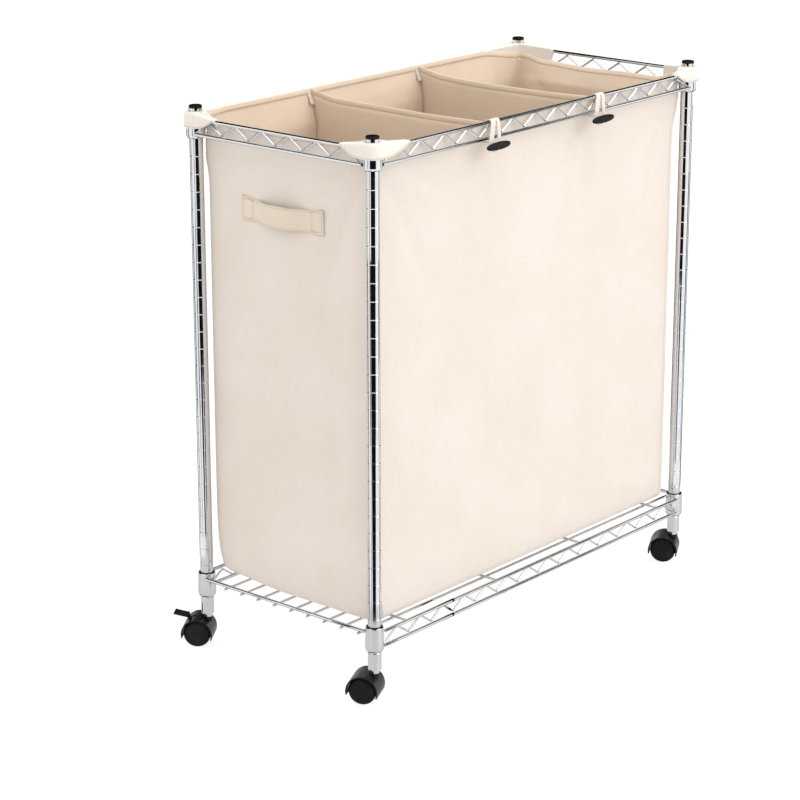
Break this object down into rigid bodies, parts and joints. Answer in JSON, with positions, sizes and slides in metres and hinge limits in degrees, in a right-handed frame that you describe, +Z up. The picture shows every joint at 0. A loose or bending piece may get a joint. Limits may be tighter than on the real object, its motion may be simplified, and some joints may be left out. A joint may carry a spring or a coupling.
{
  "type": "laundry sorter cart",
  "caption": "Rolling laundry sorter: chromed wire frame on swivel casters with a hanging canvas bag divided into compartments.",
  "frame": {"origin": "on the floor under the middle of the four posts", "axes": "+Z up, +X along the length to the right end seen from the toggles in front, +Y to the back"},
  "size_m": [0.7908, 0.3968, 0.8064],
  "materials": {
    "chrome_steel": "polished chrome plate",
    "black_plastic": "satin",
    "canvas": "plain weave cotton canvas, cream outside and tan inside",
    "cotton_tape": "herringbone cotton tape",
    "toggle_plastic": "moulded with cross ribs",
    "caster_plastic": "moulded nylon",
    "wheel_plastic": "moulded nylon",
    "axle_steel": "drawn"
  },
  "bodies": {
    "frame": {"post_front_left": "chrome_steel", "post_back_left": "chrome_steel", "post_front_right": "chrome_steel", "post_back_right": "chrome_steel", "caster_stems": "chrome_steel", "top_collars": "chrome_steel", "bottom_collars": "chrome_steel", "top_truss_front": "chrome_steel", "top_truss_back": "chrome_steel", "top_truss_left": "chrome_steel", "top_truss_right": "chrome_steel", "bottom_truss_front": "chrome_steel", "bottom_truss_back": "chrome_steel", "bottom_rod_left": "chrome_steel", "bottom_rod_right": "chrome_steel", "shelf_long_wires": "chrome_steel", "shelf_cross_wires": "chrome_steel", "post_caps": "black_plastic", "top_split_sleeves": "black_plastic", "bottom_split_sleeves": "black_plastic", "post_inserts": "black_plastic", "bag_front_panel": "canvas", "bag_back_panel": "canvas", "bag_left_panel": "canvas", "bag_right_panel": "canvas", "bag_bottom_panel": "canvas", "bag_divider_left": "canvas", "bag_divider_right": "canvas", "bag_corner_ears": "canvas", "carry_strap_left": "canvas", "carry_strap_right": "canvas", "tape_loops_front": "cotton_tape", "tape_loops_back": "cotton_tape", "toggle_tapes": "cotton_tape"},
    "caster_front_left": {"caster_front_left_hood": "caster_plastic", "caster_front_left_axle": "axle_steel"},
    "caster_front_left_wheel_a": {"caster_front_left_wheel_a": "wheel_plastic"},
    "caster_front_left_wheel_b": {"caster_front_left_wheel_b": "wheel_plastic"},
    "caster_back_left": {"caster_back_left_hood": "caster_plastic", "caster_back_left_axle": "axle_steel", "caster_back_left_brake_pin": "axle_steel"},
    "caster_back_left_wheel_a": {"caster_back_left_wheel_a": "wheel_plastic"},
    "caster_back_left_wheel_b": {"caster_back_left_wheel_b": "wheel_plastic"},
    "caster_back_left_brake": {"caster_back_left_brake_lever": "caster_plastic"},
    "caster_front_right": {"caster_front_right_hood": "caster_plastic", "caster_front_right_axle": "axle_steel"},
    "caster_front_right_wheel_a": {"caster_front_right_wheel_a": "wheel_plastic"},
    "caster_front_right_wheel_b": {"caster_front_right_wheel_b": "wheel_plastic"},
    "caster_back_right": {"caster_back_right_hood": "caster_plastic", "caster_back_right_axle": "axle_steel", "caster_back_right_brake_pin": "axle_steel"},
    "caster_back_right_wheel_a": {"caster_back_right_wheel_a": "wheel_plastic"},
    "caster_back_right_wheel_b": {"caster_back_right_wheel_b": "wheel_plastic"},
    "caster_back_right_brake": {"caster_back_right_brake_lever": "caster_plastic"},
    "toggle_front_left": {"toggle_front_left": "toggle_plastic"},
    "toggle_front_right": {"toggle_front_right": "toggle_plastic"},
    "toggle_back_left": {"toggle_back_left": "toggle_plastic"},
    "toggle_back_right": {"toggle_back_right": "toggle_plastic"}
  },
  "joints": [
    {"name": "caster_front_left_swivel", "type": "hinge", "parent": "frame", "child": "caster_front_left", "pos_m": [-0.3644, -0.1628, 0.04], "axis": [0, 0, 1], "continuous": true},
    {"name": "caster_front_left_wheel_a_spin", "type": "hinge", "parent": "caster_front_left", "child": "caster_front_left_wheel_a", "pos_m": [-0.37054, -0.15022, 0.02], "axis": [0.8988, 0.4384, 0], "continuous": true},
    {"name": "caster_front_left_wheel_b_spin", "type": "hinge", "parent": "caster_front_left", "child": "caster_front_left_wheel_b", "pos_m": [-0.37054, -0.15022, 0.02], "axis": [0.8988, 0.4384, 0], "continuous": true},
    {"name": "caster_back_left_swivel", "type": "hinge", "parent": "frame", "child": "caster_back_left", "pos_m": [-0.3644, 0.1628, 0.04], "axis": [0, 0, 1], "continuous": true},
    {"name": "caster_back_left_wheel_a_spin", "type": "hinge", "parent": "caster_back_left", "child": "caster_back_left_wheel_a", "pos_m": [-0.37223, 0.17441, 0.02], "axis": [0.829, 0.5592, 0], "continuous": true},
    {"name": "caster_back_left_wheel_b_spin", "type": "hinge", "parent": "caster_back_left", "child": "caster_back_left_wheel_b", "pos_m": [-0.37223, 0.17441, 0.02], "axis": [0.829, 0.5592, 0], "continuous": true},
    {"name": "caster_back_left_brake_press", "type": "hinge", "parent": "caster_back_left", "child": "caster_back_left_brake", "pos_m": [-0.37726, 0.18187, 0.0335], "axis": [-0.829, -0.5592, 0], "range_deg": [0, 18]},
    {"name": "caster_front_right_swivel", "type": "hinge", "parent": "frame", "child": "caster_front_right", "pos_m": [0.3644, -0.1628, 0.04], "axis": [0, 0, 1], "continuous": true},
    {"name": "caster_front_right_wheel_a_spin", "type": "hinge", "parent": "caster_front_right", "child": "caster_front_right_wheel_a", "pos_m": [0.35761, -0.15056, 0.02], "axis": [0.8746, 0.4848, 0], "continuous": true},
    {"name": "caster_front_right_wheel_b_spin", "type": "hinge", "parent": "caster_front_right", "child": "caster_front_right_wheel_b", "pos_m": [0.35761, -0.15056, 0.02], "axis": [0.8746, 0.4848, 0], "continuous": true},
    {"name": "caster_back_right_swivel", "type": "hinge", "parent": "frame", "child": "caster_back_right", "pos_m": [0.3644, 0.1628, 0.04], "axis": [0, 0, 1], "continuous": true},
    {"name": "caster_back_right_wheel_a_spin", "type": "hinge", "parent": "caster_back_right", "child": "caster_back_right_wheel_a", "pos_m": [0.3574, 0.17492, 0.02], "axis": [0.866, 0.5, 0], "continuous": true},
    {"name": "caster_back_right_wheel_b_spin", "type": "hinge", "parent": "caster_back_right", "child": "caster_back_right_wheel_b", "pos_m": [0.3574, 0.17492, 0.02], "axis": [0.866, 0.5, 0], "continuous": true},
    {"name": "caster_back_right_brake_press", "type": "hinge", "parent": "caster_back_right", "child": "caster_back_right_brake", "pos_m": [0.3529, 0.18272, 0.0335], "axis": [-0.866, -0.5, 0], "range_deg": [0, 18]},
    {"name": "toggle_front_left_turn", "type": "hinge", "parent": "frame", "child": "toggle_front_left", "pos_m": [-0.122, -0.1829, 0.7565], "axis": [0, -1, 0], "range_deg": [-90, 90]},
    {"name": "toggle_front_right_turn", "type": "hinge", "parent": "frame", "child": "toggle_front_right", "pos_m": [0.122, -0.1829, 0.7565], "axis": [0, -1, 0], "range_deg": [-90, 90]},
    {"name": "toggle_back_left_turn", "type": "hinge", "parent": "frame", "child": "toggle_back_left", "pos_m": [-0.122, 0.1829, 0.7565], "axis": [0, 1, 0], "range_deg": [-90, 90]},
    {"name": "toggle_back_right_turn", "type": "hinge", "parent": "frame", "child": "toggle_back_right", "pos_m": [0.122, 0.1829, 0.7565], "axis": [0, 1, 0], "range_deg": [-90, 90]}
  ]
}
